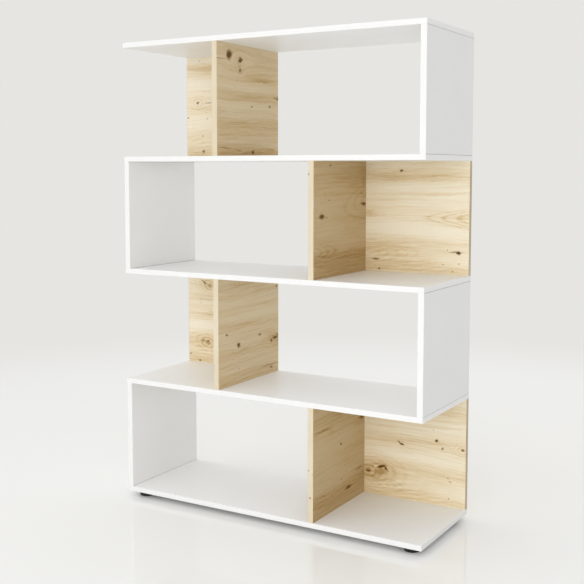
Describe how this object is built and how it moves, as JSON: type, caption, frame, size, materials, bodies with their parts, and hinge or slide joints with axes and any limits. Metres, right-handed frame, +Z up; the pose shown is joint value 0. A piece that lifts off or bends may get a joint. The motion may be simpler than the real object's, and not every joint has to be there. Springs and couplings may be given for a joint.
{
  "type": "shelving unit",
  "caption": "Free-standing room divider shelf: white boards zigzag up, with oak dividers and oak back panels closing the corner bays left and right in turn.",
  "frame": {"origin": "on the floor, under the middle of the unit", "axes": "+Z up, +Y towards the back, +X to the right seen from the front"},
  "size_m": [1.04, 0.354, 1.471],
  "materials": {
    "white_melamine": "chipboard with matt white melamine faces",
    "oak_decor": "chipboard with knotty light oak decor faces, grain level",
    "white_edging": "white plastic edging strip",
    "oak_edging": "plastic edging strip with oak print",
    "beech": "pressed beech",
    "black_plastic": "moulded black plastic"
  },
  "bodies": {
    "root": {"bottom_shelf": "white_melamine", "bottom_shelf_edging": "white_edging", "shelf_2": "white_melamine", "shelf_2_edging": "white_edging", "shelf_3": "white_melamine", "shelf_3_edging": "white_edging", "shelf_4": "white_melamine", "shelf_4_edging": "white_edging", "top_shelf": "white_melamine", "top_shelf_edging": "white_edging", "side_panel_1": "white_melamine", "side_panel_1_edging": "white_edging", "side_panel_2": "white_melamine", "side_panel_2_edging": "white_edging", "side_panel_3": "white_melamine", "side_panel_3_edging": "white_edging", "side_panel_4": "white_melamine", "side_panel_4_edging": "white_edging", "divider_1": "oak_decor", "divider_1_edging": "oak_edging", "back_panel_1": "oak_decor", "back_panel_1_edging": "oak_edging", "divider_2": "oak_decor", "divider_2_edging": "oak_edging", "back_panel_2": "oak_decor", "back_panel_2_edging": "oak_edging", "divider_3": "oak_decor", "divider_3_edging": "oak_edging", "back_panel_3": "oak_decor", "back_panel_3_edging": "oak_edging", "divider_4": "oak_decor", "divider_4_edging": "oak_edging", "back_panel_4": "oak_decor", "back_panel_4_edging": "oak_edging", "side_panel_biscuits": "beech", "divider_biscuits": "beech", "back_panel_biscuits": "beech", "front_glides": "black_plastic", "back_glides": "black_plastic"}
  },
  "joints": []
}
